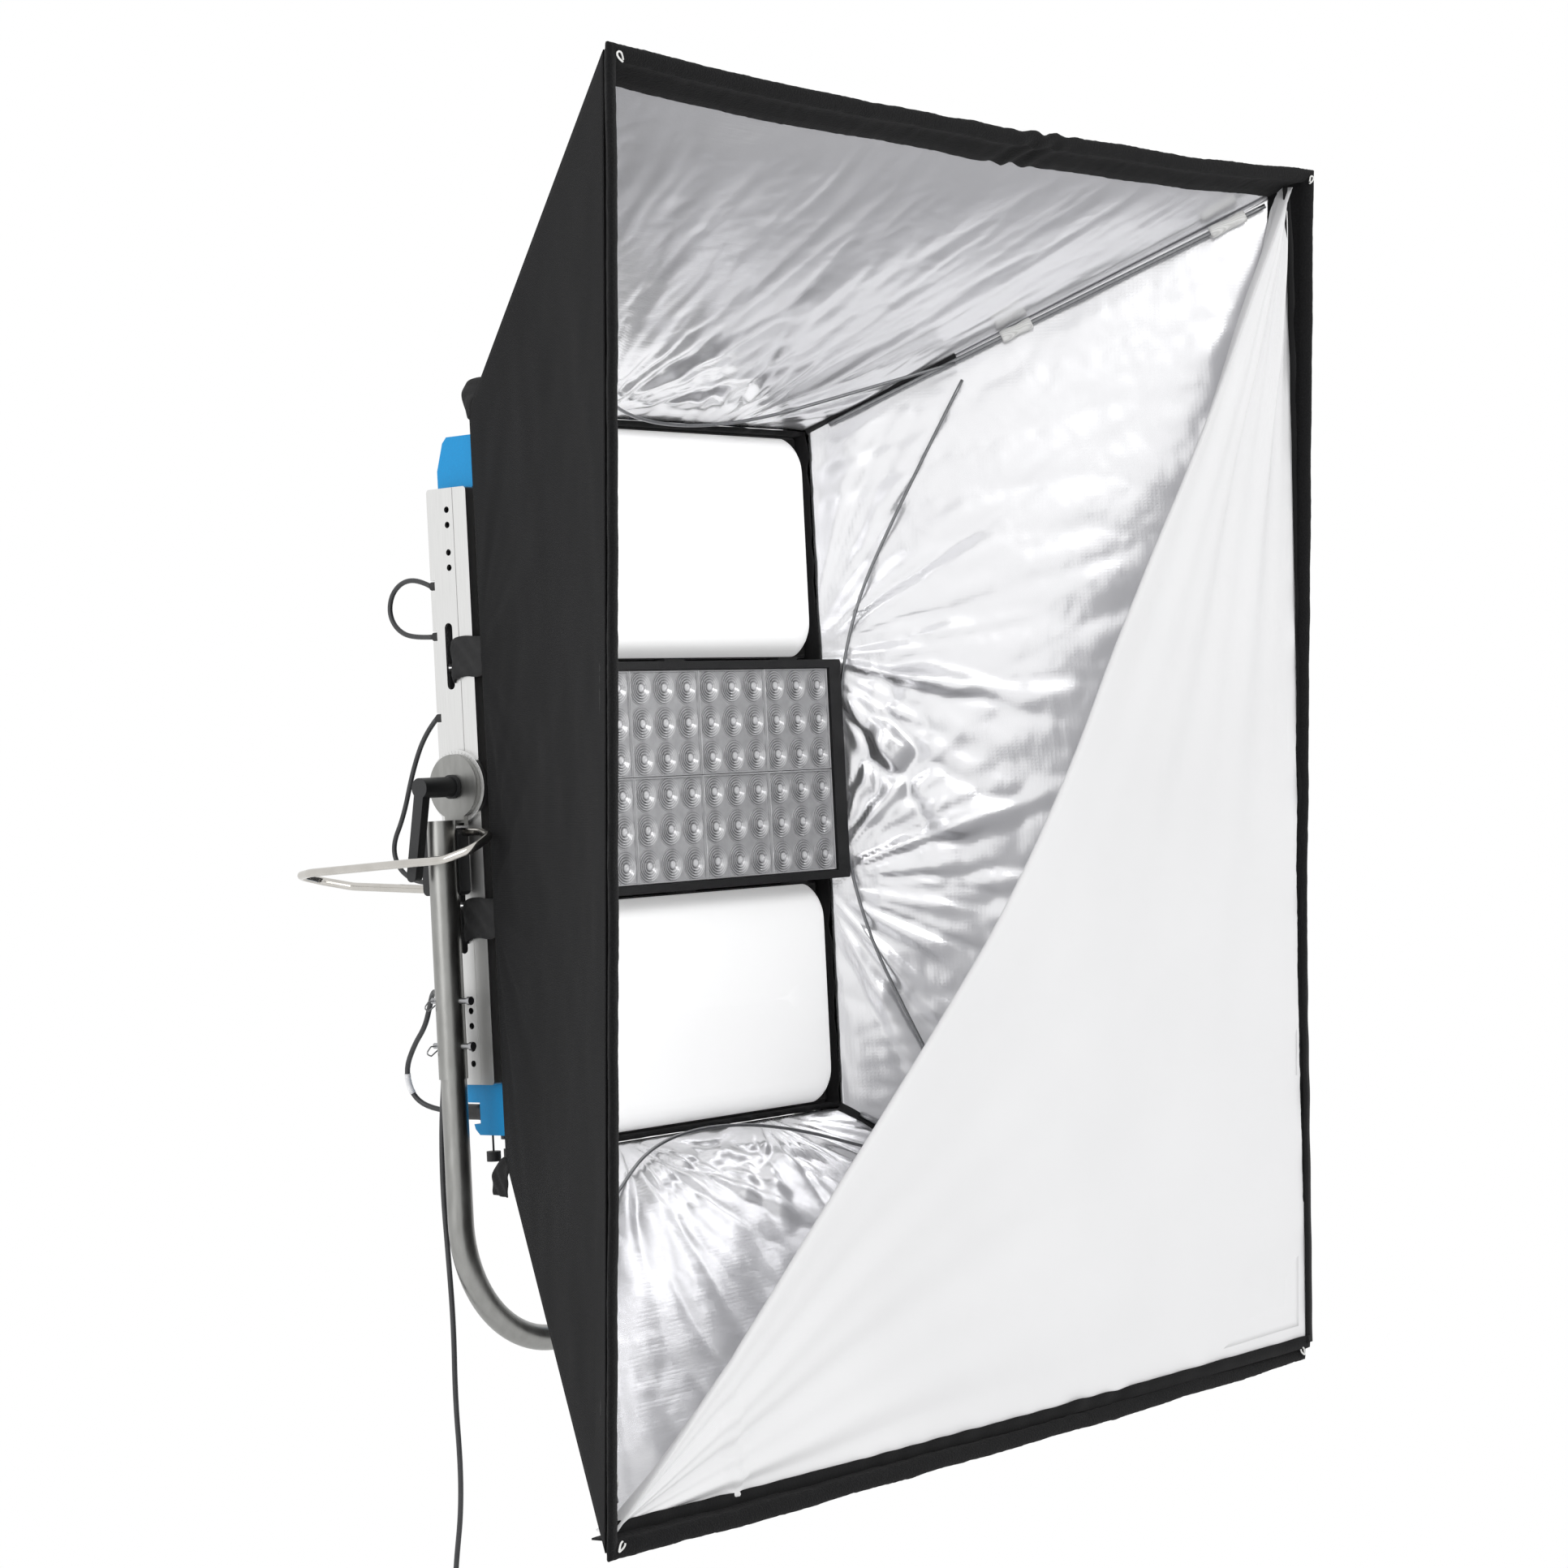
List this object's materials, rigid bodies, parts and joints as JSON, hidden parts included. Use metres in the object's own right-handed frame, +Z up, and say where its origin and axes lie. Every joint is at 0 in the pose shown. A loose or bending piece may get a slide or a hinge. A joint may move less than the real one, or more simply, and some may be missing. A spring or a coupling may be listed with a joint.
{
  "type": "studio softbox light",
  "caption": "Three-module studio light panel in a flared folding softbox with a half-opened front diffuser, carried by a tubular tilting yoke.",
  "frame": {"origin": "on the spigot's axis at its shoulder, under the yoke's bottom bar", "axes": "+Z up along the spigot, the light faces -Y, the tilt axis runs along +X"},
  "size_m": [1.598, 0.9714, 2.1397],
  "materials": {
    "black_metal": "satin black powder coat over sheet aluminium",
    "clear_lens": "clear moulded plastic",
    "circuit_board": "white solder mask",
    "opal_plastic": "opal diffuser",
    "bare_aluminium": "bare",
    "black_plastic": "moulded black",
    "dark_metal": "satin charcoal powder coat over sheet aluminium",
    "display_glass": "dark window",
    "anodised_aluminium": "clear satin anodised",
    "blue_paint": "satin blue powder coat over aluminium",
    "black_rubber": "matt",
    "black_cloth": "plain weave",
    "bag_cloth": "charcoal outside, aluminised lining",
    "pile_border": "loop pile",
    "steel_wire": "spring steel",
    "white_cloth": "white tape",
    "diffuser_cloth": "white translucent cloth",
    "black_webbing": "hook-and-loop strap",
    "satin_aluminium": "satin",
    "polished_steel": "polished stainless",
    "steel": "zinc plated",
    "grey_cable": "PVC sheath"
  },
  "bodies": {
    "yoke": {"yoke_bow": "satin_aluminium", "yoke_sleeves": "satin_aluminium", "yoke_plates": "satin_aluminium", "tilt_bolts": "steel", "clevis_pins": "steel", "handles": "polished_steel", "handle_blocks": "black_plastic", "spigot": "steel", "spigot_bolt": "steel", "supply_lead": "grey_cable", "supply_lead_coil": "grey_cable", "mains_plug": "black_plastic"},
    "head": {"lens_frame": "black_metal", "lens_array": "clear_lens", "lens_brackets": "black_metal", "housings": "black_metal", "led_boards": "circuit_board", "domes": "opal_plastic", "heat_sinks": "bare_aluminium", "fan_frames": "black_plastic", "rear_covers": "dark_metal", "fan_grilles": "black_metal", "power_supply": "bare_aluminium", "control_board": "circuit_board", "control_panel": "black_plastic", "display": "display_glass", "side_rails": "anodised_aluminium", "end_caps": "blue_paint", "sockets": "black_plastic", "dust_caps": "black_rubber", "tilt_discs": "anodised_aluminium", "bag_collar": "black_cloth", "wall_left": "bag_cloth", "wall_right": "bag_cloth", "wall_top": "bag_cloth", "wall_bottom": "bag_cloth", "front_border": "pile_border", "frame_rods": "steel_wire", "rod_sleeves": "white_cloth", "wall_hoops": "steel_wire", "diffuser_cloth": "diffuser_cloth", "diffuser_border": "black_cloth", "bag_straps": "black_webbing", "cable_glands": "black_rubber", "link_cable_top": "grey_cable", "link_cable_middle": "grey_cable", "lead_connector": "black_plastic"},
    "lever_left": {"tilt_lever_left": "black_plastic"},
    "clip_left_upper": {"pin_clip_left_upper": "steel_wire"},
    "clip_left_lower": {"pin_clip_left_lower": "steel_wire"},
    "lever_right": {"tilt_lever_right": "black_plastic"},
    "clip_right_upper": {"pin_clip_right_upper": "steel_wire"},
    "clip_right_lower": {"pin_clip_right_lower": "steel_wire"},
    "fan_bottom": {"fan_rotor_bottom": "black_plastic"},
    "fan_middle": {"fan_rotor_middle": "black_plastic"},
    "fan_top": {"fan_rotor_top": "black_plastic"},
    "knob": {"control_knob": "black_plastic"},
    "button_1": {"button_1": "black_plastic"},
    "button_2": {"button_2": "black_plastic"},
    "button_3": {"button_3": "black_plastic"}
  },
  "joints": [
    {"name": "head_tilt", "type": "hinge", "parent": "yoke", "child": "head", "pos_m": [0, 0, 0.8], "axis": [1, 0, 0], "range_deg": [-80, 4], "deforming": ["supply_lead"]},
    {"name": "lever_left_turn", "type": "hinge", "parent": "yoke", "child": "lever_left", "pos_m": [-0.4, 0, 0.8], "axis": [1, 0, 0], "range_deg": [-40, 90]},
    {"name": "clip_left_upper_pull", "type": "slide", "parent": "yoke", "child": "clip_left_upper", "axis": [-1, 0, 0], "range_m": [0, 0.03]},
    {"name": "clip_left_lower_pull", "type": "slide", "parent": "yoke", "child": "clip_left_lower", "axis": [-1, 0, 0], "range_m": [0, 0.03]},
    {"name": "lever_right_turn", "type": "hinge", "parent": "yoke", "child": "lever_right", "pos_m": [0.4, 0, 0.8], "axis": [1, 0, 0], "range_deg": [-40, 90]},
    {"name": "clip_right_upper_pull", "type": "slide", "parent": "yoke", "child": "clip_right_upper", "axis": [1, 0, 0], "range_m": [0, 0.03]},
    {"name": "clip_right_lower_pull", "type": "slide", "parent": "yoke", "child": "clip_right_lower", "axis": [1, 0, 0], "range_m": [0, 0.03]},
    {"name": "fan_bottom_spin", "type": "hinge", "parent": "head", "child": "fan_bottom", "pos_m": [0, 0.005, 0.511], "axis": [0, 1, 0], "continuous": true},
    {"name": "fan_middle_spin", "type": "hinge", "parent": "head", "child": "fan_middle", "pos_m": [0, 0.005, 0.8], "axis": [0, 1, 0], "continuous": true},
    {"name": "fan_top_spin", "type": "hinge", "parent": "head", "child": "fan_top", "pos_m": [0, 0.005, 1.089], "axis": [0, 1, 0], "continuous": true},
    {"name": "knob_turn", "type": "hinge", "parent": "head", "child": "knob", "pos_m": [0.19, 0.042, 0.918], "axis": [0, 1, 0], "continuous": true},
    {"name": "button_1_press", "type": "slide", "parent": "head", "child": "button_1", "axis": [0, -1, 0], "range_m": [0, 0.0015], "stiffness_N_per_m": 400, "springref_m": -0.0005},
    {"name": "button_2_press", "type": "slide", "parent": "head", "child": "button_2", "axis": [0, -1, 0], "range_m": [0, 0.0015], "stiffness_N_per_m": 400, "springref_m": -0.0005},
    {"name": "button_3_press", "type": "slide", "parent": "head", "child": "button_3", "axis": [0, -1, 0], "range_m": [0, 0.0015], "stiffness_N_per_m": 400, "springref_m": -0.0005}
  ]
}
